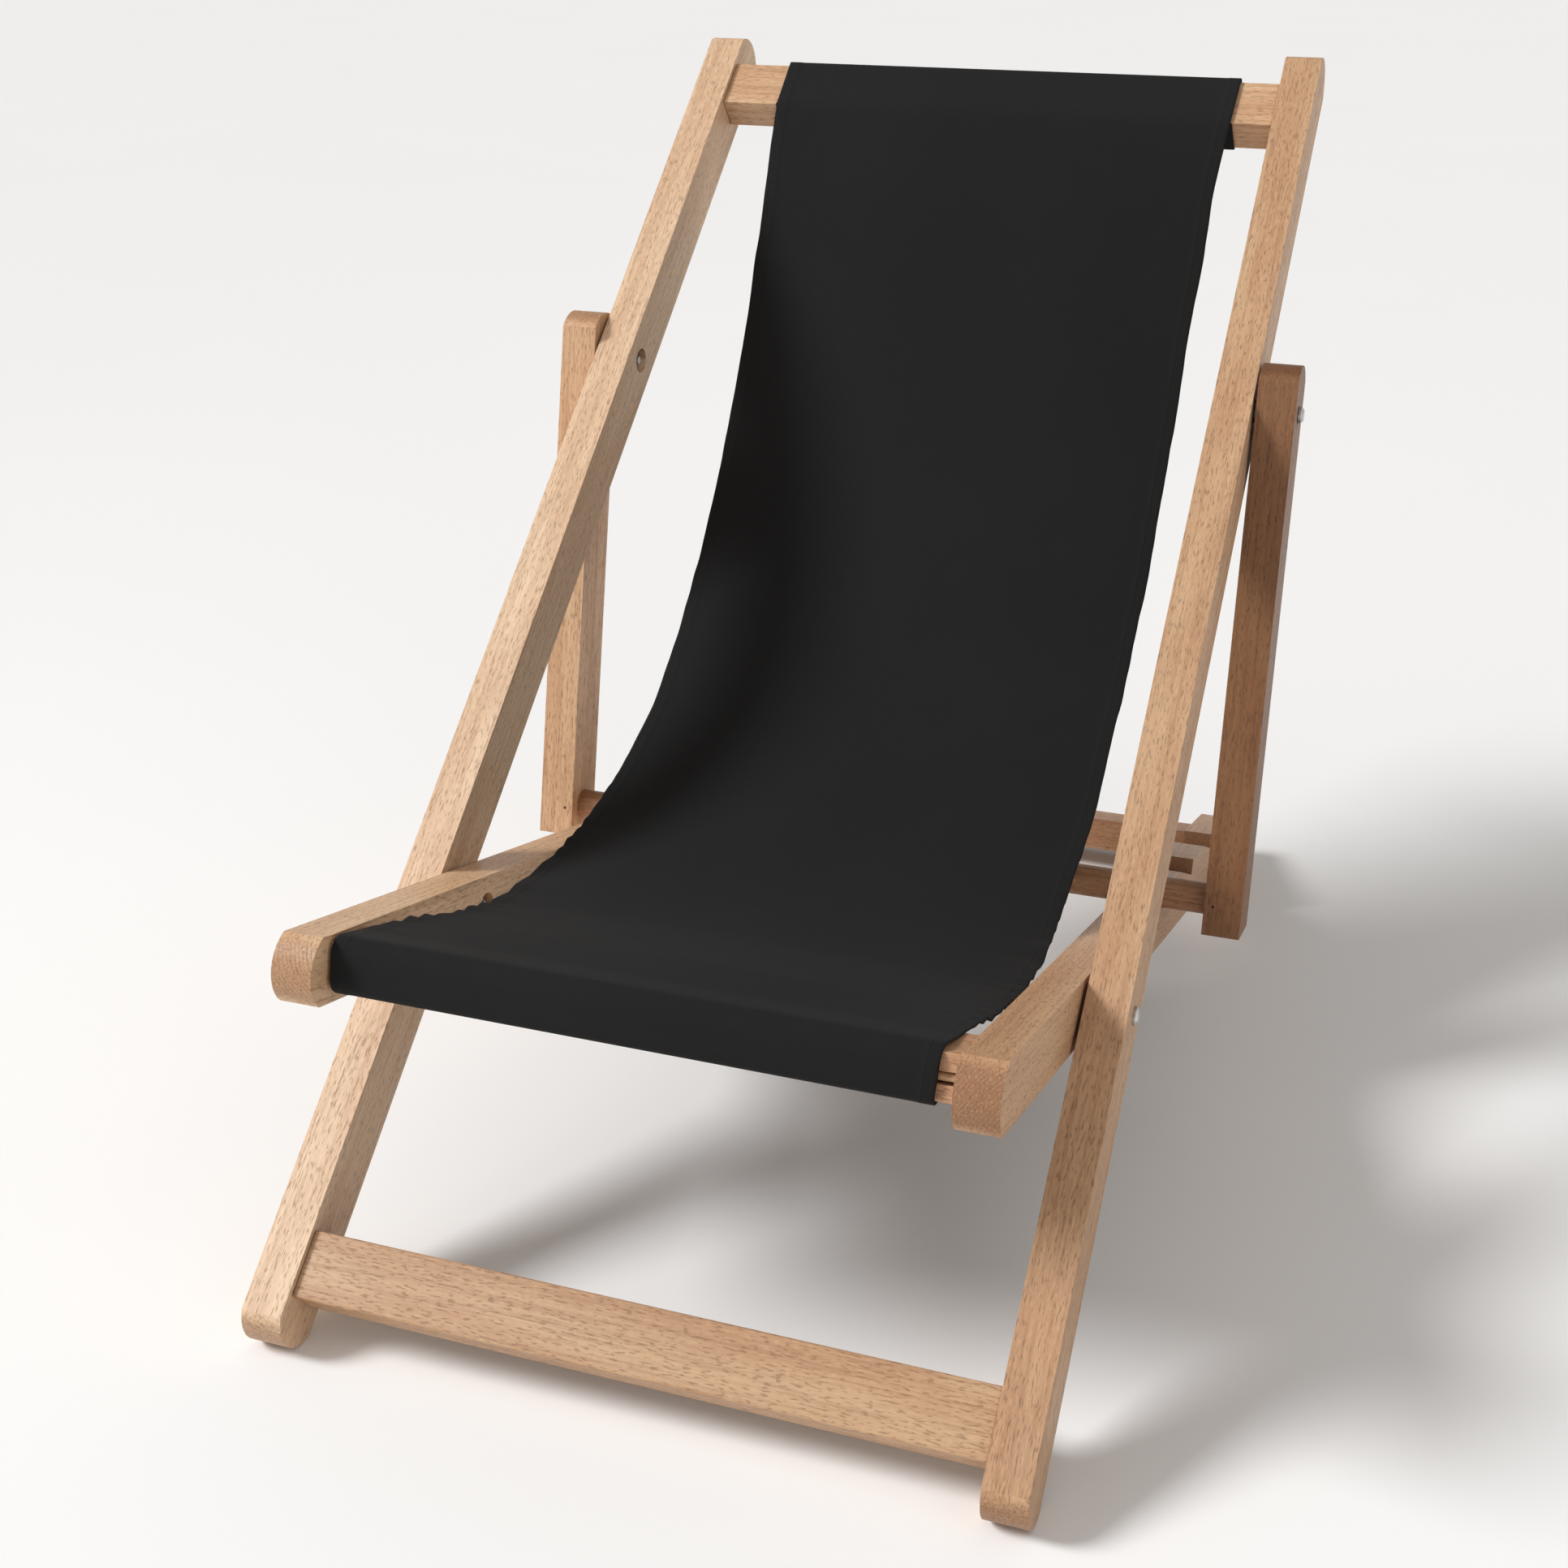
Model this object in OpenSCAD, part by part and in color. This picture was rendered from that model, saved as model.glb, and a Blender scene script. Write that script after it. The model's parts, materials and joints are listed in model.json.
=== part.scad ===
// Folding wooden deck chair with a cloth sling.
// Three frames: a long back frame, a seat frame that crosses inside it, and a short prop
// frame whose round bar lies in a notch of the seat rails.

/* [Back frame] */
// overall width across the two long rails
frame_w = 535.8; // [480:0.1:620]
// width of a long rail, seen from the front
rail_w = 29.8; // [27:0.1:34]
// depth of a long rail, front to back
rail_d = 46.7; // [44:0.1:52]
// length of a long rail
long_len = 1172; // [1150:1:1240]
// radius of the rounded rail ends
end_r = 26.3; // [26.1:0.1:30]
// foot end to the seat pivot
seat_pivot_at = 328.1; // [322:0.1:334]
// foot end to the prop pivot
prop_pivot_at = 820; // [817:0.5:823]
// foot end to the bottom edge of the foot bar
foot_bar_at = 29.4; // [26:0.1:32]
// foot end to the bottom edge of the top bar
top_bar_at = 1088.3; // [1070:0.1:1092]
// set-back of the bars behind the front of the long rails
bar_setback = 3.8; // [2:0.1:5]

/* [Bars] */
// height of a cross bar
bar_h = 45.4; // [44:0.1:46]
// thickness of a cross bar
bar_t = 28.7; // [27:0.1:29]
// height of the hem slot in a bar
slot_h = 8; // [7.6:0.1:8.4]
// length of the bar tenons
tenon_len = 15; // [10:1:18]
// diameter of the hem rods
rod_d = 5.4; // [4:0.1:5.8]

/* [Seat frame] */
// gap between neighbouring rails at the pivots
side_gap = 2.7; // [2.6:0.1:3.2]
// width of a seat rail
seat_w = 28.4; // [26:0.1:30]
// depth of a seat rail
seat_d = 45; // [44:0.1:47]
// angle between the seat rails and the long rails
open_angle = 55.37; // [55:0.01:55.6]
// seat pivot to the front end of a seat rail
seat_front = 238.4; // [236:0.1:246]
// seat pivot to the rear end of a seat rail
seat_rear = 698.8; // [690:0.1:710]
// distance between the empty notches
notch_pitch = 134; // [128:0.5:136]
// seat pivot to the rear wall of the last notch
notch_last = 592.6; // [588:0.1:600]
// depth of the empty notches
notch_depth = 13; // [11:0.5:14]
// length of the slope in front of a notch
notch_ramp = 65; // [55:1:70]

/* [Prop frame] */
// width of a prop rail
prop_w = 29.4; // [26:0.1:32]
// depth of a prop rail
prop_d = 45; // [44:0.1:47]
// prop pivot to the middle of the round bar
prop_reach = 383; // [381:0.5:385]
// diameter of the round bar
dowel_d = 25; // [22:0.5:26]
// length of a prop rail past its round bar
prop_tail = 23.4; // [20:0.1:30]

/* [Sling] */
// width of the cloth
sling_w = 388; // [340:1:392]
// thickness of the cloth
sling_t = 1.5; // [1:0.1:1.6]
// how far the cloth sags behind the back frame
sling_sag = 311.5; // [250:0.5:330]

/* [Hardware] */
// diameter of the pivot bolts
bolt_d = 6; // [5:0.5:8]
// diameter of the bolt heads
head_d = 13; // [11:0.5:15]
// diameter of the sunk holes round the nuts
cbore_d = 19.8; // [18:0.1:22]
// depth of the sunk holes round the nuts
cbore_depth = 10; // [9:0.5:13]

/* [Hidden] */
$fn = 64;
eps = 0.01;

x_lo = frame_w / 2;              // outer face of a long rail
x_li = x_lo - rail_w;            // inner face of a long rail
x_so = x_li - side_gap;          // outer face of a seat rail
x_si = x_so - seat_w;            // inner face of a seat rail
x_pi = x_lo + side_gap;          // inner face of a prop rail
x_po = x_pi + prop_w;            // outer face of a prop rail

// side-view directions measured in the long rail's own plane (along, outward)
us = [cos(open_angle), -sin(open_angle)];      // along the seat rail, to the rear
ns = [sin(open_angle), cos(open_angle)];       // out of the top of the seat rail
pq = [seat_pivot_at, -rail_d / 2];             // seat pivot
pp = [prop_pivot_at, -rail_d / 2];             // prop pivot
// the prop leans so that its round bar is level with the top of the seat rails
span = prop_pivot_at - seat_pivot_at;
lean = 180 - asin((span * ns[0] - seat_d / 2) / prop_reach) - open_angle > 60
     ? asin((span * ns[0] - seat_d / 2) / prop_reach) - open_angle
     : 180 - asin((span * ns[0] - seat_d / 2) / prop_reach) - open_angle;
pd = [pp[0] - prop_reach * cos(lean), pp[1] - prop_reach * sin(lean)];   // middle of the round bar
dn = (pd - pq) * ns;             // its height over the seat rail's middle line
dt = (pd - pq) * us;             // its distance behind the seat pivot

// lean of the whole back frame on a level floor
foot_cut = 2.8;                  // flat sole sawn off the rear ends of the seat rails
rear_pt = pq + us * seat_rear - ns * (seat_d / 2);
foot_c = [end_r, -rail_d / 2];
ra = rear_pt - foot_c;
tilt = atan2(-ra[1], ra[0]) + asin((-end_r - foot_cut) / norm(ra));
z0 = end_r - foot_c[0] * sin(tilt) - foot_c[1] * cos(tilt);
rear_top = pq + us * seat_rear + ns * (seat_d / 2);
y_back = rear_top[0] * cos(tilt) - rear_top[1] * sin(tilt);
y_front = foot_c[0] * cos(tilt) - foot_c[1] * sin(tilt) - end_r;
y0 = -(y_back + y_front) / 2;

module in_long() { translate([0, y0, z0]) rotate([tilt, 0, 0]) children(); }
module in_seat() { in_long() translate([0, pq[0], pq[1]]) rotate([-open_angle, 0, 0]) children(); }
module in_prop() { in_long() translate([0, pp[0], pp[1]]) rotate([lean, 0, 0]) children(); }
module xcyl(x0, x1, d, fn = 64) { translate([x0, 0, 0]) rotate([0, 90, 0]) cylinder(h = x1 - x0, d = d, $fn = fn); }
module block(x0, x1, ya, yb, za, zb) { translate([x0, ya, za]) cube([x1 - x0, yb - ya, zb - za]); }
module profile(x0, x1) { translate([x0, 0, 0]) rotate([90, 0, 90]) linear_extrude(height = x1 - x0) children(); }
module both() { children(); mirror([1, 0, 0]) children(); }

// a rail lying along Y with round ends; the end arcs are wider than the rail, so its corners stay
module rail(x0, x1, ya, yb, d, front_round = true, rear_round = true) {
  block(x0, x1, ya + (front_round ? end_r : 0), yb - (rear_round ? end_r : 0), -d / 2, d / 2);
  if (front_round) intersection() {
    translate([0, ya + end_r, 0]) xcyl(x0, x1, 2 * end_r, 96);
    block(x0 - 1, x1 + 1, ya - 1, ya + end_r + eps, -d / 2, d / 2);
  }
  if (rear_round) intersection() {
    translate([0, yb - end_r, 0]) xcyl(x0, x1, 2 * end_r, 96);
    block(x0 - 1, x1 + 1, yb - end_r - eps, yb + 1, -d / 2, d / 2);
  }
}
// tenon pocket in the inner face of a rail
module pocket(xi, ya, yb, za, zb, s) {
  block(xi - 1, xi + tenon_len + 0.6, ya + 6 - s, yb - 6 + s, za + 6 - s, zb - 6 + s);
}

// ---- back frame ----
zb0 = -bar_setback - bar_t;      // rear face of the back frame's bars
module long_rail() {
  difference() {
    translate([0, 0, -rail_d / 2]) rail(x_li, x_lo, 0, long_len, rail_d);
    pocket(x_li, foot_bar_at, foot_bar_at + bar_h, zb0, -bar_setback, 0.1);
    pocket(x_li, top_bar_at, top_bar_at + bar_h, zb0, -bar_setback, 0.1);
    translate([0, pq[0], pq[1]]) xcyl(x_li - 1, x_lo + 1, bolt_d + 0.2);
    translate([0, pp[0], pp[1]]) {
      xcyl(x_li - 1, x_lo + 1, bolt_d + 0.2);
      xcyl(x_li - 1, x_li + cbore_depth, cbore_d);
    }
  }
}
module long_rail_right() { color("burlywood") in_long() long_rail(); }
module long_rail_left() { color("burlywood") in_long() mirror([1, 0, 0]) long_rail(); }
// a cross bar with a tenon at each end, its section given by two corners
module bar(xi, ya, yb, za, zb) {
  block(-xi, xi, ya, yb, za, zb);
  block(-xi - tenon_len, xi + tenon_len, ya + 6, yb - 6, za + 6, zb - 6);
}
slot_x = sling_w / 2 - 9;          // half length of the top hem slot, covered by the cloth
top_mid = top_bar_at + bar_h / 2;
module foot_bar() { color("tan") in_long() bar(x_li, foot_bar_at, foot_bar_at + bar_h, zb0, -bar_setback); }
module top_bar() {
  color("tan") in_long() difference() {
    bar(x_li, top_bar_at, top_bar_at + bar_h, zb0, -bar_setback);
    // hem slot right through
    block(-slot_x, slot_x, top_mid - slot_h / 2, top_mid + slot_h / 2, zb0 - 1, 1);
  }
}
module top_hem_rod() {
  color("peru") in_long() translate([0, top_mid, -bar_setback - 5]) xcyl(-slot_x + 1, slot_x - 1, rod_d, 32);
}

// ---- seat frame ----
nt = seat_d / 2;                              // top face of a seat rail
wall1 = dt + dowel_d / 2 + 0.4;               // rear wall of the notch in use
fb_y0 = -216.5; fb_y1 = fb_y0 + bar_h;        // front seat bar
fb_z1 = nt - 4; fb_z0 = fb_z1 - bar_t - 1.3;
fb_mid = nt - 19.5;                           // middle of its slot
rb_y0 = 636.8; rb_y1 = rb_y0 + bar_h;         // rear seat bar
rb_z1 = nt - 8.5; rb_z0 = rb_z1 - bar_t;
module saw(y_wall, depth) {
  // slope down to the rear, then a steep wall
  polygon([[y_wall - notch_ramp, nt + 1], [y_wall - notch_ramp, nt], [y_wall - 4, nt - depth],
           [y_wall - 1.5, nt - depth], [y_wall, nt], [y_wall, nt + 1]]);
}
module seat_rail() {
  difference() {
    rail(x_si, x_so, -seat_front, seat_rear, seat_d, true, false);
    // notch in use: a round bed for the bar, a slope in front of it and a wall behind it
    translate([0, dt, dn]) xcyl(x_si - 1, x_so + 1, dowel_d + 0.8);
    profile(x_si - 1, x_so + 1) polygon([[wall1 - notch_ramp, nt + 1], [wall1 - notch_ramp, nt],
      [dt - 3.2, dn - dowel_d / 2 - 0.25], [dt, dn - dowel_d / 2 - 0.3], [dt, nt + 1]]);
    profile(x_si - 1, x_so + 1) saw(notch_last - notch_pitch, notch_depth);
    profile(x_si - 1, x_so + 1) saw(notch_last, notch_depth);
    pocket(x_si, fb_y0, fb_y1, fb_z0, fb_z1, 0.1);
    pocket(x_si, rb_y0, rb_y1, rb_z0, rb_z1, 0.1);
    xcyl(x_si - 1, x_so + 1, bolt_d + 0.7);
    xcyl(x_si - 1, x_si + cbore_depth, cbore_d);
    // flat sole on the floor
    rotate([open_angle - tilt, 0, 0])
      translate([0, 0, -(z0 + pq[0] * sin(tilt) + pq[1] * cos(tilt)) - 50])
        block(x_si - 1, x_so + 1, 400, 900, 0, 50);
  }
}
module seat_rail_right() { color("burlywood") in_seat() seat_rail(); }
module seat_rail_left() { color("burlywood") in_seat() mirror([1, 0, 0]) seat_rail(); }
module front_seat_bar() {
  color("tan") in_seat() difference() {
    bar(x_si, fb_y0, fb_y1, fb_z0, fb_z1);
    block(-x_si + 4, x_si - 4, fb_y0 - 1, fb_y1 + 1, fb_mid - slot_h / 2, fb_mid + slot_h / 2);
  }
}
module rear_seat_bar() { color("tan") in_seat() bar(x_si, rb_y0, rb_y1, rb_z0, rb_z1); }
module front_hem_rod() {
  color("peru") in_seat() translate([0, fb_y0 + 4, fb_mid]) xcyl(-x_si + 5, x_si - 5, rod_d, 32);
}

// ---- prop frame ----
pin_in = 7; pin_d = 1.8;         // pins that hold the round bar
module prop_rail() {
  difference() {
    rail(x_pi, x_po, -prop_reach - prop_tail, 37, prop_d, false, true);
    xcyl(x_pi - 1, x_po + 1, bolt_d + 0.7);
    translate([0, -prop_reach, 0]) xcyl(x_pi - 1, x_pi + 20.1, dowel_d + 0.1);
    // pin hole from the front
    translate([x_pi + pin_in, -prop_reach, 0]) cylinder(h = 60, d = pin_d + 0.3, $fn = 20);
  }
}
module prop_rail_right() { color("burlywood") in_prop() prop_rail(); }
module prop_rail_left() { color("burlywood") in_prop() mirror([1, 0, 0]) prop_rail(); }
module prop_round_bar() {
  color("sienna") in_prop() translate([0, -prop_reach, 0]) difference() {
    xcyl(-x_pi - 20, x_pi + 20, dowel_d);
    both() translate([x_pi + pin_in, 0, -4]) cylinder(h = 60, d = pin_d + 0.3, $fn = 20);
  }
}
module round_bar_nails() {
  // headless, driven just below the surface
  color("dimgray") in_prop() both() translate([x_pi + pin_in, -prop_reach, -3])
    cylinder(h = prop_d / 2 + 3 - 0.5, d = pin_d, $fn = 20);
}

// ---- sling ----
function bez(p, t) = pow(1 - t, 3) * p[0] + 3 * pow(1 - t, 2) * t * p[1] + 3 * (1 - t) * t * t * p[2] + pow(t, 3) * p[3];
function arc(c, r, a0, a1, n) = [for (i = [0:n]) c + r * [cos(a0 + (a1 - a0) * i / n), sin(a0 + (a1 - a0) * i / n)]];
function unit(v) = v / norm(v);
function turn(v) = [-v[1], v[0]];
// mitred side step of a path at point i
function step(q, i, h) = let (n = len(q) - 1,
    a = i > 0 ? turn(unit(q[i] - q[i - 1])) : turn(unit(q[1] - q[0])),
    b = i < n ? turn(unit(q[i + 1] - q[i])) : a)
  q[i] + h * (a + b) / (1 + a * b);
module ribbon(q) {
  n = len(q) - 1;
  polygon(concat([for (i = [0:n]) step(q, i, sling_t / 2)], [for (i = [n:-1:0]) step(q, i, -sling_t / 2)]));
}
cx0 = -sling_w / 2; cx1 = sling_w / 2;
hang_back = [[top_bar_at + 3, -bar_setback + 1.8 + sling_t / 2], [948, -68], [600.6, -sling_sag], [339.5, -17.4]];
hang_seat = [[-7, 12], [-31.7, 8.6], [-112, 16.5], [fb_y1 - 6, fb_z1 + 0.8 + sling_t / 2]];
// the two halves part on a circle round the seat pivot, so neither crosses the other
split_back = 0.982; split_seat = 0.9855;
function to_seat(p) = [(p - pq) * us, (p - pq) * ns];
wrap_back = 1.8 + sling_t / 2;   // middle of the cloth, off the face of the top bar
wrap_seat = 0.8 + sling_t / 2;   // middle of the cloth, off the face of the front seat bar
module sling_back() {
  color("dimgray") in_long() profile(cx0, cx1) ribbon(concat(
    // out of the slot at the rear, over the top of the bar, down its front and into the hang
    [[top_mid + slot_h / 2, zb0 - wrap_back]],
    arc([top_bar_at + bar_h, zb0], wrap_back, -90, 0, 6),
    arc([top_bar_at + bar_h, -bar_setback], wrap_back, 0, 90, 6),
    [for (i = [0:36]) bez(hang_back, split_back * i / 36)]));
}
module sling_seat() {
  color("dimgray") in_seat() profile(cx0, cx1) ribbon(concat(
    // past the pivot, up to the front bar, over it, down its front and under it
    [for (i = [0:3]) to_seat(bez(hang_back, split_seat + (1 - split_seat) * i / 3))],
    [for (i = [0:20]) bez(hang_seat, i / 20)],
    arc([fb_y0, fb_z1], wrap_seat, 90, 180, 6),
    arc([fb_y0, fb_z0], wrap_seat, 180, 270, 6),
    [[fb_y0 + 20, fb_z0 - wrap_seat]]));
}

// ---- hardware ----
module bolt(x_head, x_tip) {
  // low head outside, plain shaft inward
  xcyl(x_tip, x_head + eps, bolt_d, 48);
  xcyl(x_head, x_head + 1.8, head_d, 48);
  translate([x_head + 1.8, 0, 0]) rotate([0, 90, 0]) cylinder(h = 1.7, d1 = head_d, d2 = head_d - 5, $fn = 48);
}
module nut(x0, x1) {
  difference() {
    union() {
      xcyl(x0 + 1.3, x1, 10.4, 6);
      xcyl(x1 - 1.4, x1, 16, 48);
    }
    xcyl(x0 - 1, x1 + 1, bolt_d + 0.1, 48);
  }
}
module washer(x0, x1) {
  difference() { xcyl(x0, x1, 18, 48); xcyl(x0 - 1, x1 + 1, bolt_d + 0.4, 48); }
}
module seat_pivot_bolts() { color("silver") in_seat() both() bolt(x_lo + 0.05, x_si + 2); }
module seat_pivot_nuts() { color("silver") in_seat() both() nut(x_si + cbore_depth - 7.4, x_si + cbore_depth - 0.4); }
module seat_pivot_washers() { color("silver") in_seat() both() washer(x_so + 0.4, x_li - 0.05); }
module prop_pivot_bolts() { color("silver") in_prop() both() bolt(x_po + 0.4, x_li + 2); }
module prop_pivot_nuts() { color("silver") in_prop() both() nut(x_li + cbore_depth - 7.1, x_li + cbore_depth - 0.1); }
module prop_pivot_washers() { color("silver") in_prop() both() washer(x_lo + 0.05, x_pi - 0.4); }

long_rail_left();
long_rail_right();
top_bar();
foot_bar();
top_hem_rod();
seat_rail_left();
seat_rail_right();
front_seat_bar();
rear_seat_bar();
front_hem_rod();
prop_rail_left();
prop_rail_right();
prop_round_bar();
round_bar_nails();
sling_back();
sling_seat();
seat_pivot_bolts();
seat_pivot_nuts();
seat_pivot_washers();
prop_pivot_bolts();
prop_pivot_nuts();
prop_pivot_washers();
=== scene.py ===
import json
import math

import bpy
import numpy as np
from mathutils import Matrix, Vector, noise


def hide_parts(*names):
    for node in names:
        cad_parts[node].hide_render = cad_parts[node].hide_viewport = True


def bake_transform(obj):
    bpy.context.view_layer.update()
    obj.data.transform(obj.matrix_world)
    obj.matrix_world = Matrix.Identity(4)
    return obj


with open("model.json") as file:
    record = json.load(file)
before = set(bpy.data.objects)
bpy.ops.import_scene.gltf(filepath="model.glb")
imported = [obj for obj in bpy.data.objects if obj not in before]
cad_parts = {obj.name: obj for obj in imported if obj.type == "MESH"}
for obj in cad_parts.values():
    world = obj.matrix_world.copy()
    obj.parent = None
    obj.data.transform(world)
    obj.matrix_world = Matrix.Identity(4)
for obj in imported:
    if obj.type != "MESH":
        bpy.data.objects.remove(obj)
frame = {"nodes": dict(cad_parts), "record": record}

scene = bpy.context.scene
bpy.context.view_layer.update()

# ---------------------------------------------------------------- camera
cam_data = bpy.data.cameras.new("camera")
cam = bpy.data.objects.new("camera", cam_data)
scene.collection.objects.link(cam)
right = Vector((0.944468, 0.328558, -0.005496))
up = Vector((-0.122037, 0.366235, 0.922485))
back = Vector((0.305103, -0.870587, 0.385993))
m = Matrix((right, up, back)).transposed().to_4x4()
m.translation = Vector((0.476931, -1.439088, 0.968803))
cam.matrix_world = m
cam_data.sensor_width = 36.0
cam_data.sensor_fit = "HORIZONTAL"
cam_data.lens = 2666.024 / 1932 * 36
cam_data.shift_x = -0.018756
cam_data.shift_y = -0.062954
cam_data.clip_start = 0.05
cam_data.clip_end = 60
scene.camera = cam

# ---------------------------------------------------------------- the frames' own directions
joints = {j["name"]: j for j in frame["record"]["behaviour"]["joints"]}
Q = np.array(joints["seat_fold"]["pos_m"][1:], float)      # seat pivot (y, z)
P = np.array(joints["prop_swing"]["pos_m"][1:], float)     # prop pivot


def points_of(node):
    return np.array([v.co for v in frame["nodes"][node].data.vertices], float)


es = (P - Q) / np.linalg.norm(P - Q)                       # along the long rails, upward
et = np.array([-es[1], es[0]])                             # out of their front
rear = points_of("rear_seat_bar")[:, 1:]
w, v = np.linalg.eigh(np.cov((rear - rear.mean(0)).T))
us = v[:, -1] * (1 if v[0, -1] > 0 else -1)                # along the seat rails, rearward
un = np.array([-us[1], us[0]])                             # out of their top
D = points_of("prop_round_bar")[:, 1:].mean(0)
ep = (P - D) / np.linalg.norm(P - D)                       # along the props, upward
ANG_LONG = math.atan2(es[1], es[0])
ANG_SEAT = math.atan2(us[1], us[0])
ANG_PROP = math.atan2(ep[1], ep[0])


def extent(node, origin, a, b):
    """low and high of a node along a and b, from origin."""
    p = points_of(node)[:, 1:] - origin
    s, t = p @ a, p @ b
    return s.min(), s.max(), t.min(), t.max()


# ---------------------------------------------------------------- node helpers
class Graph:
    def __init__(self, name):
        self.mat = bpy.data.materials.new(name)
        self.mat.use_nodes = True
        self.t = self.mat.node_tree
        self.t.nodes.clear()
        self.out = self.t.nodes.new("ShaderNodeOutputMaterial")
        self.bsdf = self.t.nodes.new("ShaderNodeBsdfPrincipled")
        self.t.links.new(self.bsdf.outputs[0], self.out.inputs[0])

    def node(self, kind, **kw):
        n = self.t.nodes.new(kind)
        for k, val in kw.items():
            setattr(n, k, val)
        return n

    def put(self, socket, value):
        if isinstance(value, bpy.types.NodeSocket):
            self.t.links.new(value, socket)
        else:
            socket.default_value = value

    def math(self, op, a, b=0.0, c=0.0, clamp=False):
        n = self.node("ShaderNodeMath", operation=op, use_clamp=clamp)
        self.put(n.inputs[0], a)
        self.put(n.inputs[1], b)
        if len(n.inputs) > 2:
            self.put(n.inputs[2], c)
        return n.outputs[0]

    def combine(self, x, y, z):
        n = self.node("ShaderNodeCombineXYZ")
        for s, val in zip(n.inputs, (x, y, z)):
            self.put(s, val)
        return n.outputs[0]

    def noise(self, vec, detail=2.0, rough=0.5, scale=1.0):
        n = self.node("ShaderNodeTexNoise")
        self.put(n.inputs["Vector"], vec)
        n.inputs["Scale"].default_value = scale
        n.inputs["Detail"].default_value = detail
        n.inputs["Roughness"].default_value = rough
        return n.outputs["Fac"]

    def ramp(self, x, lo, hi, a=0.0, b=1.0):
        n = self.node("ShaderNodeMapRange", interpolation_type="SMOOTHSTEP")
        self.put(n.inputs[0], x)
        for i, val in enumerate((lo, hi, a, b), 1):
            n.inputs[i].default_value = val
        return n.outputs[0]

    def mix(self, f, a, b, kind="MIX"):
        n = self.node("ShaderNodeMix", data_type="RGBA", blend_type=kind)
        self.put(n.inputs[0], f)
        for s, val in ((n.inputs[6], a), (n.inputs[7], b)):
            self.put(s, val if isinstance(val, bpy.types.NodeSocket) else (*val, 1.0))
        return n.outputs[2]

    def bump(self, height, strength, distance, normal=None):
        n = self.node("ShaderNodeBump")
        n.inputs["Strength"].default_value = strength
        n.inputs["Distance"].default_value = distance
        self.put(n.inputs["Height"], height)
        if normal is not None:
            self.put(n.inputs["Normal"], normal)
        return n.outputs[0]


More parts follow.
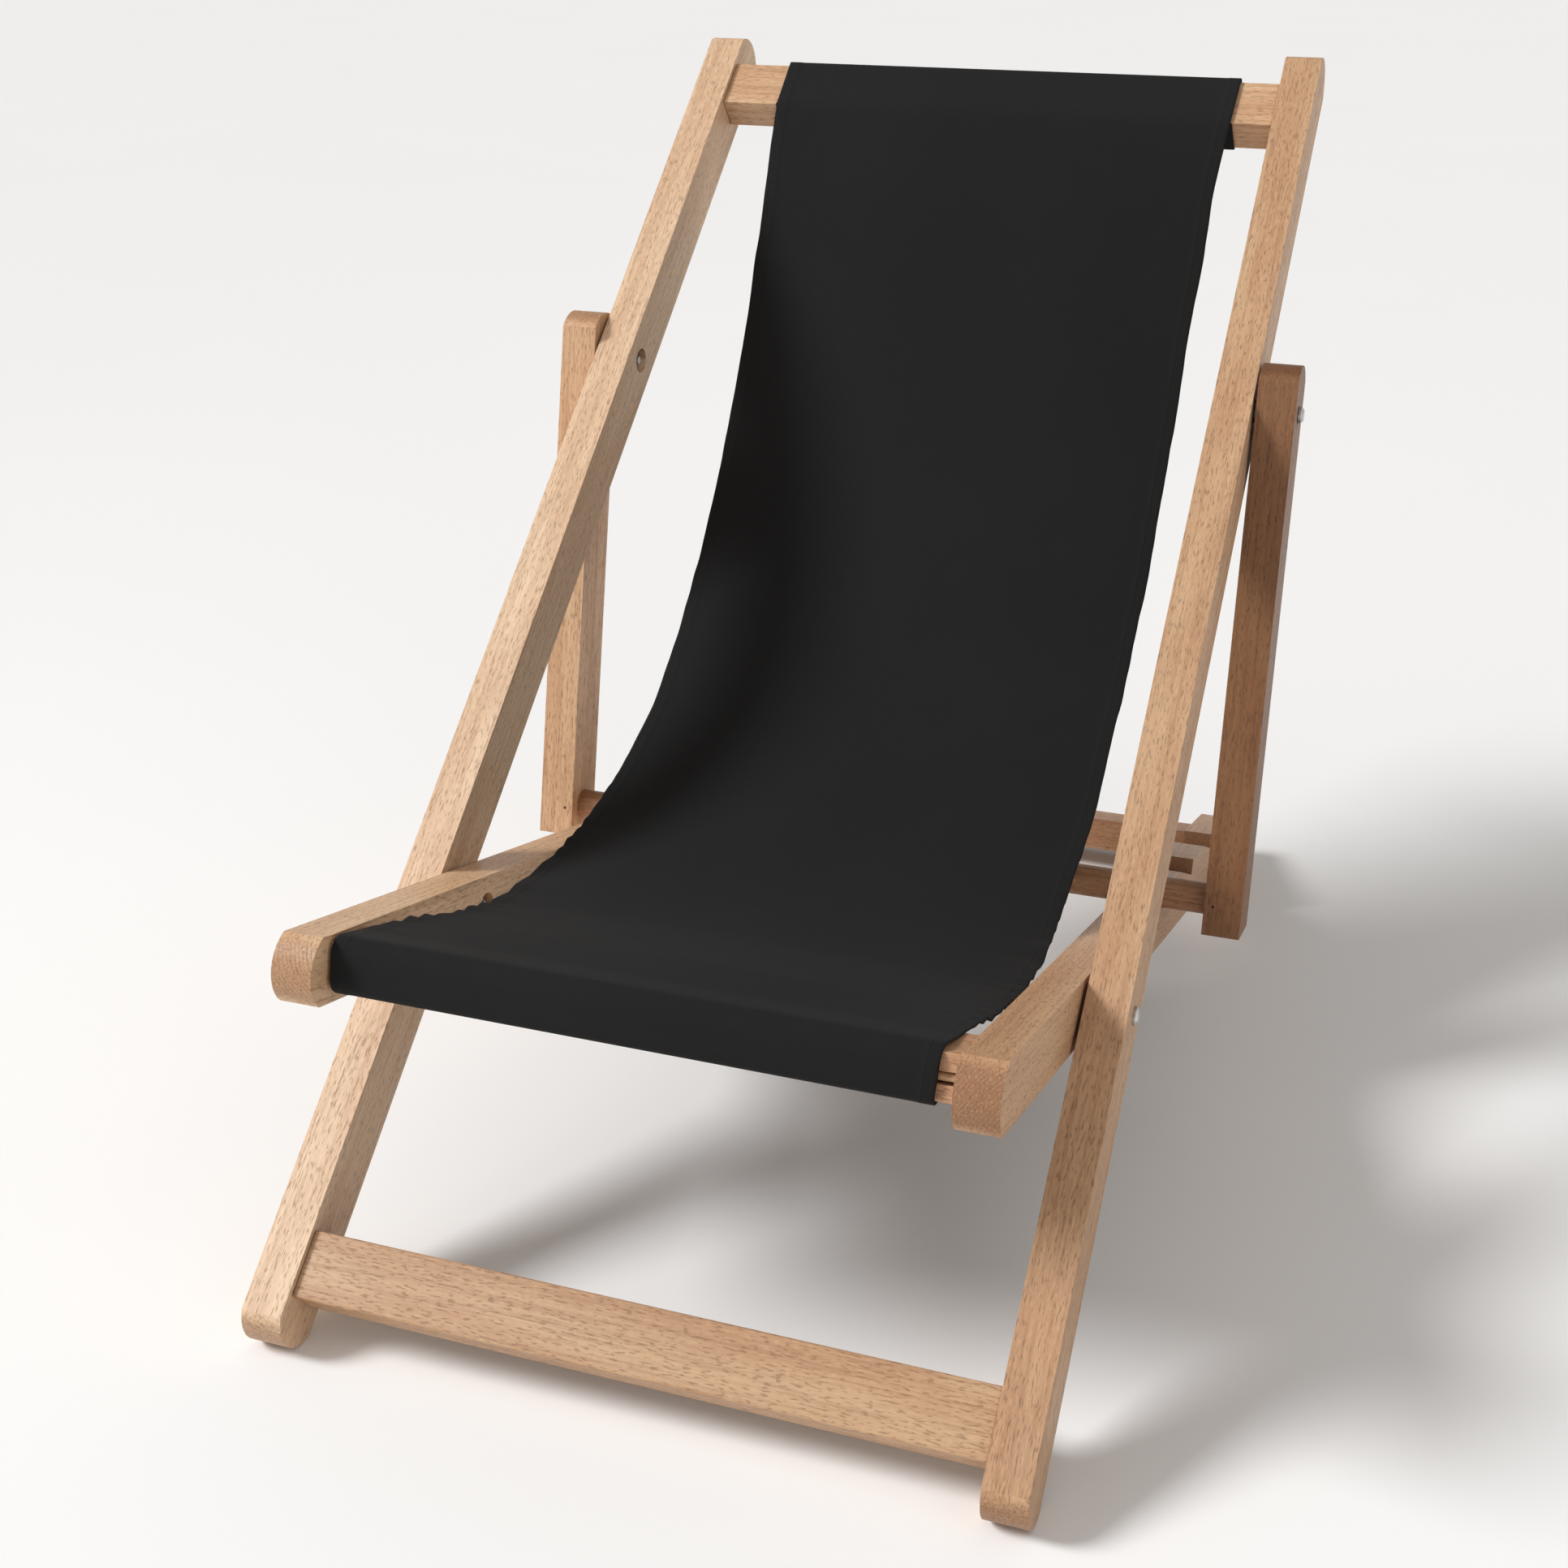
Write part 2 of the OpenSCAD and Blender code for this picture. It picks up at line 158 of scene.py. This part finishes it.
# ---------------------------------------------------------------- beech
def beech(name, angle, along, seed, pith, light, pink, dark, flecks_and_glints=1.0, rough=0.46, sawn=0.55):
    """Planed beech. The grain runs along 'x' or, in a frame turned by angle about X, along 'y'."""
    g = Graph(name)
    tc = g.node("ShaderNodeTexCoord")
    mp = g.node("ShaderNodeMapping")
    g.put(mp.inputs[0], tc.outputs["Object"])
    mp.inputs["Rotation"].default_value = (-angle, 0, 0)
    mn = g.node("ShaderNodeMapping", vector_type="NORMAL")
    g.put(mn.inputs[0], tc.outputs["Normal"])
    mn.inputs["Rotation"].default_value = (-angle, 0, 0)
    sep, sn = g.node("ShaderNodeSeparateXYZ"), g.node("ShaderNodeSeparateXYZ")
    g.put(sep.inputs[0], mp.outputs[0])
    g.put(sn.inputs[0], mn.outputs[0])
    x, y, z = sep.outputs
    if along == "x":
        gr, a, b, ng = x, y, z, sn.outputs[0]
    else:
        gr, a, b, ng = y, x, z, sn.outputs[1]
    gr = g.math("ADD", gr, seed * 3.7)
    end = g.ramp(g.math("ABSOLUTE", ng), 0.55, 0.85)         # end grain
    mul = lambda s, k: g.math("MULTIPLY", s, k)
    wob = mul(g.math("SUBTRACT", g.noise(g.combine(mul(gr, 2.6), mul(a, 9), mul(b, 9)), 2.0), 0.5), 0.026)
    da, db = g.math("SUBTRACT", a, pith[0]), g.math("SUBTRACT", b, pith[1])
    r = g.math("SQRT", g.math("ADD", mul(da, da), mul(db, db)))
    r = g.math("ADD", r, wob)
    ring = g.ramp(g.noise(g.combine(mul(r, 430), mul(gr, 1.5), seed), 2.0, 0.6), 0.50, 0.70)
    patch = g.noise(g.combine(mul(gr, 5), mul(a, 34), mul(b, 34)), 3.0)
    streak = g.noise(g.combine(mul(gr, 14), mul(a, 420), mul(b, 420)), 3.0, 0.6)
    fleck = g.noise(g.combine(mul(gr, 150), mul(a, 760), mul(b, 760)), 1.0)
    fibre = g.noise(g.combine(mul(gr, 60), mul(a, 2600), mul(b, 2600)), 2.0, 0.65)
    dash = g.ramp(fleck, 0.575, 0.68)
    # lighter flecks: partly the beech's own lighter rays, partly a painted sheen highlight
    painted_glint = g.ramp(fleck, 0.41, 0.30)
    col = g.mix(g.ramp(patch, 0.36, 0.66), light, pink)
    col = g.mix(mul(g.ramp(streak, 0.42, 0.70), 0.42), col, dark)
    rings = mul(ring, g.math("MULTIPLY_ADD", end, 0.30, 0.22))
    col = g.mix(rings, col, dark)
    saw = g.math("SINE", mul(g.math("ADD", r, mul(g.math("SUBTRACT", patch, 0.5), 0.003)), 2 * math.pi / 0.0026))
    depth = g.math("MULTIPLY_ADD", g.noise(g.combine(mul(a, 130), mul(b, 130), seed), 2.0), 0.9, 0.05)
    col = g.mix(mul(end, sawn), col, dark)
    col = g.mix(mul(mul(g.ramp(saw, 0.0, 0.95), depth), mul(end, 0.62)), col, tuple(c * 0.6 for c in dark))
    col = g.mix(mul(dash, 0.50 * flecks_and_glints), col, tuple(c * 0.66 for c in dark))
    # painted highlight: the glint flecks lightened in the base colour, on top of the wood's own lighter rays
    col = g.mix(mul(painted_glint, 0.26 * flecks_and_glints), col, tuple(min(1, c * 1.30) for c in light))
    g.put(g.bsdf.inputs["Base Color"], col)
    g.put(g.bsdf.inputs["Roughness"], g.math("ADD", g.math("MULTIPLY_ADD", fibre, 0.16, rough - 0.08), mul(dash, 0.10)))
    height = g.math("SUBTRACT", g.math("ADD", mul(fibre, 0.5), mul(streak, 0.35)), mul(dash, 0.8))
    g.put(g.bsdf.inputs["Normal"], g.bump(height, 0.5, 0.00032))
    g.bsdf.inputs["Specular IOR Level"].default_value = 0.42
    return g.mat


LIGHT, PINK, DARK = (0.640, 0.425, 0.258), (0.560, 0.338, 0.192), (0.330, 0.168, 0.082)
# a darker, redder copy of the beech colours: partly the round bar's own wood, partly painted shade; the darkest of them
# is also the hem rods' dark colour
LIGHT_SHADED, PINK_SHADED, DARK_SHADED = (0.430, 0.225, 0.115), (0.370, 0.175, 0.083), (0.170, 0.068, 0.028)
# each piece is cut from its own board: red, green and blue factors of its tone, which also paint light and shade: the
# left long rail lightened, the right prop, right rails and rear seat bar darkened
BOARD_TONE_AND_PAINTED_SHADE = {"long_rail_left": (1.14, 1.24, 1.36), "long_rail_right": (0.88, 0.84, 0.81), "top_bar": (1.0, 0.98, 0.97),
        "foot_bar": (0.88, 0.85, 0.82), "seat_rail_left": (1.06, 1.06, 1.05), "seat_rail_right": (0.87, 0.81, 0.76),
        "front_seat_bar": (0.88, 0.80, 0.78), "rear_seat_bar": (0.62, 0.50, 0.43), "prop_rail_left": (1.0, 0.97, 0.95),
        "prop_rail_right": (0.38, 0.27, 0.19)}
woods = {
    "long_rail_left": ("y", ANG_LONG, 1.3, (-0.33, 0.05)),
    "long_rail_right": ("y", ANG_LONG, 2.9, (0.31, -0.07)),
    "top_bar": ("x", ANG_LONG, 4.1, (0.80, 0.30)),
    "foot_bar": ("x", ANG_LONG, 5.7, (-0.45, 0.25)),
    "seat_rail_left": ("y", ANG_SEAT, 6.4, (-0.15, 0.20)),
    "seat_rail_right": ("y", ANG_SEAT, 7.7, (0.262, 0.118)),
    "front_seat_bar": ("x", ANG_SEAT, 8.2, (-0.52, 0.20)),
    "rear_seat_bar": ("x", ANG_SEAT, 9.6, (0.50, 0.17)),
    "prop_rail_left": ("y", ANG_PROP, 10.5, (-0.35, -0.10)),
    "prop_rail_right": ("y", ANG_PROP, 11.8, (0.35, -0.12)),
}
for name, (along, angle, seed, pith) in woods.items():
    # each beech colour scaled by its piece's factors: board tone and painted light and shade
    tone_and_painted_shade = lambda colour: tuple(c * k for c, k in zip(colour, BOARD_TONE_AND_PAINTED_SHADE[name]))
    # every piece's end grain is darkened by sawn; on the right seat rail further (0.85 against 0.60), the extra being
    # painted shade on its end faces
    mat = beech("beech_" + name, angle, along, seed, pith, tone_and_painted_shade(LIGHT), tone_and_painted_shade(PINK), tone_and_painted_shade(DARK),
                sawn=0.85 if name == "seat_rail_right" else 0.60)
    frame["nodes"][name].data.materials.clear()
    frame["nodes"][name].data.materials.append(mat)
round_mat = beech("beech_round_bar", ANG_PROP, "x", 13.1, (0.12, 0.05), LIGHT_SHADED, PINK_SHADED, DARK_SHADED, 0.8, 0.40)
rod_mat = beech("beech_rods", ANG_LONG, "x", 14.6, (0.7, 0.2), LIGHT, PINK, DARK_SHADED, 0.6, 0.5)
for name, mat in (("prop_round_bar", round_mat), ("top_hem_rod", rod_mat), ("front_hem_rod", rod_mat)):
    frame["nodes"][name].data.materials.clear()
    frame["nodes"][name].data.materials.append(mat)


# ---------------------------------------------------------------- zinc-plated steel
def steel(name, colour, rough):
    g = Graph(name)
    tc = g.node("ShaderNodeTexCoord")
    n1 = g.noise(tc.outputs["Object"], 4.0, 0.6, 900.0)
    n2 = g.noise(tc.outputs["Object"], 2.0, 0.5, 160.0)
    col = g.mix(g.ramp(n2, 0.42, 0.68), colour, tuple(c * 0.66 for c in colour))
    g.put(g.bsdf.inputs["Base Color"], col)
    g.bsdf.inputs["Metallic"].default_value = 1.0
    g.put(g.bsdf.inputs["Roughness"], g.math("MULTIPLY_ADD", n1, 0.25, rough - 0.1))
    g.put(g.bsdf.inputs["Normal"], g.bump(n1, 0.25, 0.00008))
    return g.mat


zinc = steel("zinc_plated_steel", (0.62, 0.62, 0.61), 0.34)
dull = steel("dull_nail_steel", (0.075, 0.060, 0.050), 0.62)
for name in ("seat_pivot_bolts", "seat_pivot_nuts", "seat_pivot_washers",
             "prop_pivot_bolts", "prop_pivot_nuts", "prop_pivot_washers", "round_bar_nails"):
    frame["nodes"][name].data.materials.clear()
    frame["nodes"][name].data.materials.append(dull if name == "round_bar_nails" else zinc)

# eased edges: the CAD meshes stay as they are, only modifiers are added
for name, o in frame["nodes"].items():
    if name.startswith("sling"):
        continue
    wood = name in woods
    width = 0.0013 if wood else 0.0004
    weld = o.modifiers.new("weld", "WELD")
    weld.merge_threshold = 0.00002
    bev = o.modifiers.new("eased_edges", "BEVEL")
    bev.width = width
    bev.segments = 3 if wood else 2
    bev.limit_method = "ANGLE"
    bev.angle_limit = math.radians(32)
    bev.use_clamp_overlap = True
    bev.harden_normals = False
    nrm = o.modifiers.new("normals", "WEIGHTED_NORMAL")
    nrm.keep_sharp = False
    nrm.weight = 60

# ---------------------------------------------------------------- the cloth
TH, HEM = 0.00090, 0.00042            # thickness, and what the folded side hem adds
UNDER, OVER = 0.00080, 0.00225        # middle of the cloth off the bar, first and second layer


def arc2(c, r, a0, a1, n, f):
    """n+1 points round a corner, in the frame f, angles in degrees."""
    return [f(c[0] + r * math.cos(math.radians(a0 + (a1 - a0) * i / n)),
              c[1] + r * math.sin(math.radians(a0 + (a1 - a0) * i / n))) for i in range(n + 1)]


def line2(p, q, step, f):
    n = max(1, int(math.dist(p, q) / step))
    return [f(p[0] + (q[0] - p[0]) * i / n, p[1] + (q[1] - p[1]) * i / n) for i in range(n + 1)]


def bez(p, t):
    p = np.array(p, float)
    return (1 - t) ** 3 * p[0] + 3 * (1 - t) ** 2 * t * p[1] + 3 * (1 - t) * t * t * p[2] + t ** 3 * p[3]


seat_at, mid_t = 0.3281, -0.02335     # the seat pivot in the long rail's own plane
O_long = Q - seat_at * es - mid_t * et
F = lambda s, t: O_long + s * es + t * et
S = lambda t, n: Q + t * us + n * un

s0, s1, t0, t1 = extent("top_bar", O_long, es, et)
sm = (s0 + s1) / 2
b0, b1, c0, c1 = extent("front_seat_bar", Q, us, un)
rod = points_of("front_hem_rod")[:, 1:].mean(0) - Q
cm = rod @ un                          # height of the front slot
rod_top = points_of("top_hem_rod")[:, 1:].mean(0) - O_long
trod = rod_top @ et

path, marks = [], {}


def add(points, mark=None):
    for p in points:
        if not path or np.linalg.norm(np.array(p) - path[-1]) > 1e-4:
            path.append(np.array(p, float))
    if mark:
        marks[mark] = len(path) - 1


# out of the slot in the top bar, down its front, under it, up behind it, over it and down its front again
U = UNDER
add(line2((sm - 0.0032, trod + 0.001), (sm - 0.0032, t1 - 0.0005), 0.004, F), "top_slot")
add(arc2((sm - 0.0032 - 0.0013, t1 - 0.0005), 0.0013, 0, 90, 4, F))
add(line2((sm - 0.0052, t1 + U), (s0 + 0.0005, t1 + U), 0.005, F))
add(arc2((s0, t1), U, 90, 180, 5, F), "under_front")
add(line2((s0 - U, t1 - 0.001), (s0 - U, t0 + 0.001), 0.006, F))
add(arc2((s0, t0), U, 180, 270, 5, F), "under_rear")
add(line2((s0 + 0.001, t0 - U), (s1 - 0.001, t0 - U), 0.006, F))
add(arc2((s1, t0), U + 0.0003, -90, 0, 5, F))
add(line2((s1 + U + 0.0003, t0 + 0.001), (s1 + U + 0.0006, t1 - 0.002), 0.006, F), "over_top")
add(arc2((s1, t1), OVER, 20, 90, 6, F), "top_front")
add(line2((s1 - 0.002, t1 + OVER), (s0 + 0.002, t1 + OVER - 0.0001), 0.006, F), "leave_bar")
# the hang
hang = [(s0 - 0.0008, t1 + OVER - 0.0003), (0.948, -0.068), (0.6006, -0.3115), (0.3395, -0.0174)]
add([F(*bez(hang, (i + 1) / 130)) for i in range(126)])
seat_curve = [(-0.0070, 0.0120), (-0.0317, 0.0086), (-0.1120, 0.0165), (b1 - 0.006, c1 + UNDER + 0.0003)]
add([S(*bez(seat_curve, i / 26)) for i in range(1, 27)], "front_bar_top")
# over the front bar, down its front, under it and up behind it into the slot
R, V = 0.0070, 0.0034                 # the roll stands a little proud of the bar's corners
add(line2((b1 - 0.010, c1 + U + 0.0003), (b0 + R + 0.002, c1 + V), 0.005, S))
add(arc2((b0 + R, c1 - R), R + V, 84, 180, 11, S), "roll_top")
add(line2((b0 - V, c1 - R - 0.001), (b0 - V + 0.0006, (c0 + c1) / 2), 0.005, S))
add(line2((b0 - V + 0.0006, (c0 + c1) / 2 - 0.001), (b0 - V + 0.0002, c0 + R), 0.005, S))
add(arc2((b0 + R, c0 + R - 0.0005), R + V - 0.0002, 182, 268, 10, S), "roll_bottom")
add(line2((b0 + R + 0.004, c0 - V + 0.0003), (b1 - 0.001, c0 - U), 0.006, S))
add(arc2((b1, c0), U, 270, 360, 5, S))
add(line2((b1 + U, c0 + 0.001), (b1 + U, cm - 0.0034), 0.005, S))
add(line2((b1 - 0.001, cm - 0.0031), (rod @ us + 0.002, cm - 0.0033), 0.006, S), "front_slot")

path = np.array(path)
# light smoothing of the free hang only, where the two curves meet over the pivot
a, b = marks["leave_bar"] + 6, marks["front_bar_top"] - 3
for _ in range(14):
    path[a:b] = 0.5 * path[a:b] + 0.25 * (path[a - 1:b - 1] + path[a + 1:b + 1])
seg = np.linalg.norm(np.diff(path, axis=0), axis=1)
along = np.concatenate([[0], np.cumsum(seg)])
tan = np.gradient(path, axis=0)
tan /= np.linalg.norm(tan, axis=1)[:, None]
nor = np.stack([-tan[:, 1], tan[:, 0]], 1)
total = float(along[-1])
at = {k: float(along[i]) for k, i in marks.items()}

# side edges of the cloth along the path, left and right: it narrows where it hangs and is a little askew
free = at["front_bar_top"] - at["leave_bar"]
EDGES = [(0.0, -.1870, .2050), (0.05, -.1878, .2000), (0.10, -.1882, .1968), (0.17, -.1886, .1940), (0.29, -.1905, .1918),
         (0.40, -.1910, .1896), (0.55, -.1895, .1894), (0.66, -.1908, .1910), (0.75, -.1920, .1955), (0.84, -.1895, .1990),
         (0.90, -.1905, .2000), (0.925, -.1940, .2008), (0.945, -.1975, .1998), (0.965, -.2015, .1985), (0.985, -.2040, .1962)]
keys = [0.0, at["top_slot"], at["under_front"], at["under_rear"], at["top_front"]] + [at["leave_bar"] + free * e[0] for e in EDGES]
keys += [at["roll_top"], at["roll_bottom"], at["roll_bottom"] + 0.05, total]
lefts = [-.1838, -.1838, -.1885, -.1880, -.1872] + [e[1] for e in EDGES] + [-.2045, -.2036, -.2015, -.2010]
rights = [.1838, .1838, .2060, .2068, .2062] + [e[2] for e in EDGES] + [.1936, .1912, .1925, .1940]
xl, xr = np.interp(along, keys, lefts), np.interp(along, keys, rights)
for i, d in enumerate(along):
    calm = min(1.0, max(0.0, (d - at["leave_bar"]) / 0.05)) * min(1.0, max(0.0, (at["roll_bottom"] - d) / 0.03))
    xl[i] += calm * 0.0011 * noise.noise(Vector((d * 17, 3.1, 0))) + calm * 0.0005 * noise.noise(Vector((d * 60, 9.4, 0)))
    xr[i] += calm * 0.0013 * noise.noise(Vector((d * 15, 7.7, 0))) + calm * 0.0005 * noise.noise(Vector((d * 55, 1.6, 0)))

edge_cols = [0, 0.0008, 0.003, 0.006, 0.0085, 0.0102, 0.0112, 0.0128, 0.017, 0.024, 0.033]


def columns(width):
    inner = np.linspace(edge_cols[-1], width - edge_cols[-1], 40)[1:-1]
    return np.array(edge_cols + list(inner) + [width - c for c in reversed(edge_cols)])


ncol = len(columns(0.39))
nrow = len(path)
top, bot, fab, wear = [], [], [], []
for i in range(nrow):
    d, width = along[i], xr[i] - xl[i]
    cols = columns(width)
    f = (d - at["leave_bar"]) / free
    hung = 0.0 if f <= 0 or f >= 1 else min(1, f / 0.08) * min(1, (1 - f) / 0.05)
    rip = 0.0 if f <= 0.6 or f >= 1.0 else min(1, (f - 0.6) / 0.16) * min(1, (1.0 - f) / 0.04)
    for c in cols:
        e = min(c, width - c)
        u = c / width
        side = 1 if c > width / 2 else -1
        bulge = -0.0042 * (1 - (2 * u - 1) ** 2) * hung
        bulge += 0.0013 * hung * noise.noise(Vector((c * 7, d * 4, 2.2)))
        swing = math.sin(2 * math.pi * d / 0.0178 + 3.0 * noise.noise(Vector((d * 14, side * 5.0, 0.4))))
        bulge += rip * 0.0021 * math.exp(-e / 0.016) * (
            0.75 * swing + 0.9 * noise.noise(Vector((d * 38, side * 3.0, 8.4))))
        h = TH / 2 + HEM / 2 * (1 - min(1, max(0, (e - 0.0100) / 0.0014)))
        if e < 0.0007:
            h *= 0.55
        base = path[i] + nor[i] * bulge
        X = xl[i] + c
        top.append((X, *(base + nor[i] * h)))
        bot.append((X, *(base - nor[i] * h)))
        fab.append((c, d, e))
        near = min(abs(d - at[k]) for k in ("roll_top", "roll_bottom", "top_front"))
        wear.append(math.exp(-(near / 0.0035) ** 2))
verts = top + bot
N = nrow * ncol
faces = []
for i in range(nrow - 1):
    for j in range(ncol - 1):
        p = i * ncol + j
        faces.append((p, p + 1, p + ncol + 1, p + ncol))
        faces.append((N + p, N + p + ncol, N + p + ncol + 1, N + p + 1))
for i in range(nrow - 1):
    p, q = i * ncol, i * ncol + ncol - 1
    faces.append((p, p + ncol, N + p + ncol, N + p))
    faces.append((q, N + q, N + q + ncol, q + ncol))
for j in range(ncol - 1):
    p, q = j, (nrow - 1) * ncol + j
    faces.append((p, N + p, N + p + 1, p + 1))
    faces.append((q, q + 1, N + q + 1, N + q))
mesh = bpy.data.meshes.new("sling_cloth")
mesh.from_pydata(verts, [], faces)
mesh.update()
for name, kind, vals in (("fab", "FLOAT_VECTOR", fab + fab), ("wear", "FLOAT", wear + wear)):
    att = mesh.attributes.new(name, kind, "POINT")
    att.data.foreach_set("vector" if kind == "FLOAT_VECTOR" else "value", np.array(vals, np.float32).ravel())
mesh.polygons.foreach_set("use_smooth", [True] * len(mesh.polygons))
cloth = bpy.data.objects.new("sling_cloth", mesh)
scene.collection.objects.link(cloth)


def canvas(name, colour, thread):
    g = Graph(name)
    at_ = g.node("ShaderNodeAttribute", attribute_name="fab")
    wr = g.node("ShaderNodeAttribute", attribute_name="wear")
    sep = g.node("ShaderNodeSeparateXYZ")
    g.put(sep.inputs[0], at_.outputs["Vector"])
    u, v, e = sep.outputs
    mul = lambda s, k: g.math("MULTIPLY", s, k)
    # plain weave: warp and weft threads that pass over and under each other
    su = g.math("SINE", mul(u, math.pi / thread))
    sv = g.math("SINE", mul(v, math.pi / thread))
    over = g.math("MULTIPLY", g.math("SIGN", su), g.math("SIGN", sv))
    warp = mul(g.math("ABSOLUTE", su), g.ramp(over, -0.2, 0.2))
    weft = mul(g.math("ABSOLUTE", sv), g.ramp(over, 0.2, -0.2))
    weave = g.math("ADD", warp, weft)
    slub = g.noise(g.combine(mul(u, 900), mul(v, 60), 0.0), 2.0)
    slub2 = g.noise(g.combine(mul(u, 60), mul(v, 900), 4.0), 2.0)
    cloud = g.noise(g.combine(mul(u, 9), mul(v, 7), 1.0), 3.0)
    # stitch line of the side hem, 8.5 mm in from the edge
    line = g.ramp(g.math("ABSOLUTE", g.math("SUBTRACT", e, 0.0085)), 0.0007, 0.0003)
    run = g.ramp(g.math("SINE", mul(v, 2 * math.pi / 0.0034)), -0.5, -0.2)
    stitch = mul(line, run)
    col = g.mix(g.ramp(cloud, 0.35, 0.7), colour, tuple(c * 1.12 for c in colour))
    # painted shade: the gaps between the threads darkened in the base colour
    col = g.mix(mul(g.ramp(weave, 0.15, 0.0), 0.45), col, tuple(c * 0.45 for c in colour))
    col = g.mix(mul(g.math("ADD", slub, slub2), 0.14), col, tuple(c * 1.6 for c in colour))
    col = g.mix(mul(wr.outputs["Fac"], 0.04), col, (0.030, 0.030, 0.030))
    col = g.mix(mul(stitch, 0.5), col, tuple(c * 1.5 for c in colour))
    g.put(g.bsdf.inputs["Base Color"], col)
    g.put(g.bsdf.inputs["Roughness"], g.math("MULTIPLY_ADD", slub, 0.14, 0.78))
    g.bsdf.inputs["Specular IOR Level"].default_value = 0.12
    g.bsdf.inputs["Sheen Weight"].default_value = 0.02
    g.bsdf.inputs["Sheen Roughness"].default_value = 0.5
    h = g.math("ADD", mul(weave, 1.0), mul(g.math("ADD", slub, slub2), 0.4))
    n1 = g.bump(h, 0.45, 0.00012)
    g.put(g.bsdf.inputs["Normal"], g.bump(stitch, 0.8, 0.0004, n1))
    return g.mat


mesh.materials.append(canvas("black_canvas", (0.0112, 0.0112, 0.0115), 0.0006))
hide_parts("sling_back", "sling_seat")
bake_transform(cloth)
print("cloth length along the path", round(total, 4), "free", round(free, 4))

# ---------------------------------------------------------------- floor, light
bpy.ops.mesh.primitive_plane_add(size=60, location=(0, 0, 0))
floor = bpy.context.object
floor.name = "floor"
fg = Graph("pale_floor")
tcf = fg.node("ShaderNodeTexCoord")
fg.put(fg.bsdf.inputs["Base Color"],
       fg.mix(fg.noise(tcf.outputs["Object"], 2.0, 0.5, 1.5), (0.90, 0.90, 0.90), (0.92, 0.92, 0.92)))
fg.bsdf.inputs["Roughness"].default_value = 0.9
fg.bsdf.inputs["Specular IOR Level"].default_value = 0.1
floor.data.materials.append(fg.mat)

world = bpy.data.worlds.new("world")
scene.world = world
world.use_nodes = True
sky = world.node_tree
sky_at = sky.nodes.new("ShaderNodeTexCoord")
sky_z = sky.nodes.new("ShaderNodeSeparateXYZ")
sky_ramp = sky.nodes.new("ShaderNodeMapRange")
sky_ramp.interpolation_type = "SMOOTHSTEP"
for i, val in enumerate((0.02, 0.30, 0.92, 0.41), 1):
    sky_ramp.inputs[i].default_value = val
sky.links.new(sky_at.outputs["Generated"], sky_z.inputs[0])
sky.links.new(sky_z.outputs[2], sky_ramp.inputs[0])
sky.links.new(sky_ramp.outputs[0], sky.nodes["Background"].inputs[1])
sky.nodes["Background"].inputs[0].default_value = (1.0, 0.965, 0.93, 1)
scene.view_settings.view_transform = "Standard"


def aim(o, target):
    o.rotation_mode = "QUATERNION"
    o.rotation_quaternion = (Vector(target) - o.location).to_track_quat("-Z", "Y")


sun_data = bpy.data.lights.new("key", "SUN")
sun_data.energy = 2.70
sun_data.angle = math.radians(18)
sun = bpy.data.objects.new("key", sun_data)
scene.collection.objects.link(sun)
sun.location = (-2.3, -0.95, 2.35)
aim(sun, (0.1, 0, 0.3))
soft_data = bpy.data.lights.new("left_softbox", "AREA")
soft_data.energy = 5
soft_data.size = 1.2
soft = bpy.data.objects.new("left_softbox", soft_data)
scene.collection.objects.link(soft)
soft.location = (-1.5, -1.0, 1.5)
aim(soft, (-0.2, 0, 0.35))

fill_data = bpy.data.lights.new("right_fill", "AREA")
fill_data.energy = 8
fill_data.size = 2.2
fill = bpy.data.objects.new("right_fill", fill_data)
scene.collection.objects.link(fill)
fill.location = (2.1, -1.2, 1.9)
aim(fill, (0.0, 0.0, 0.35))
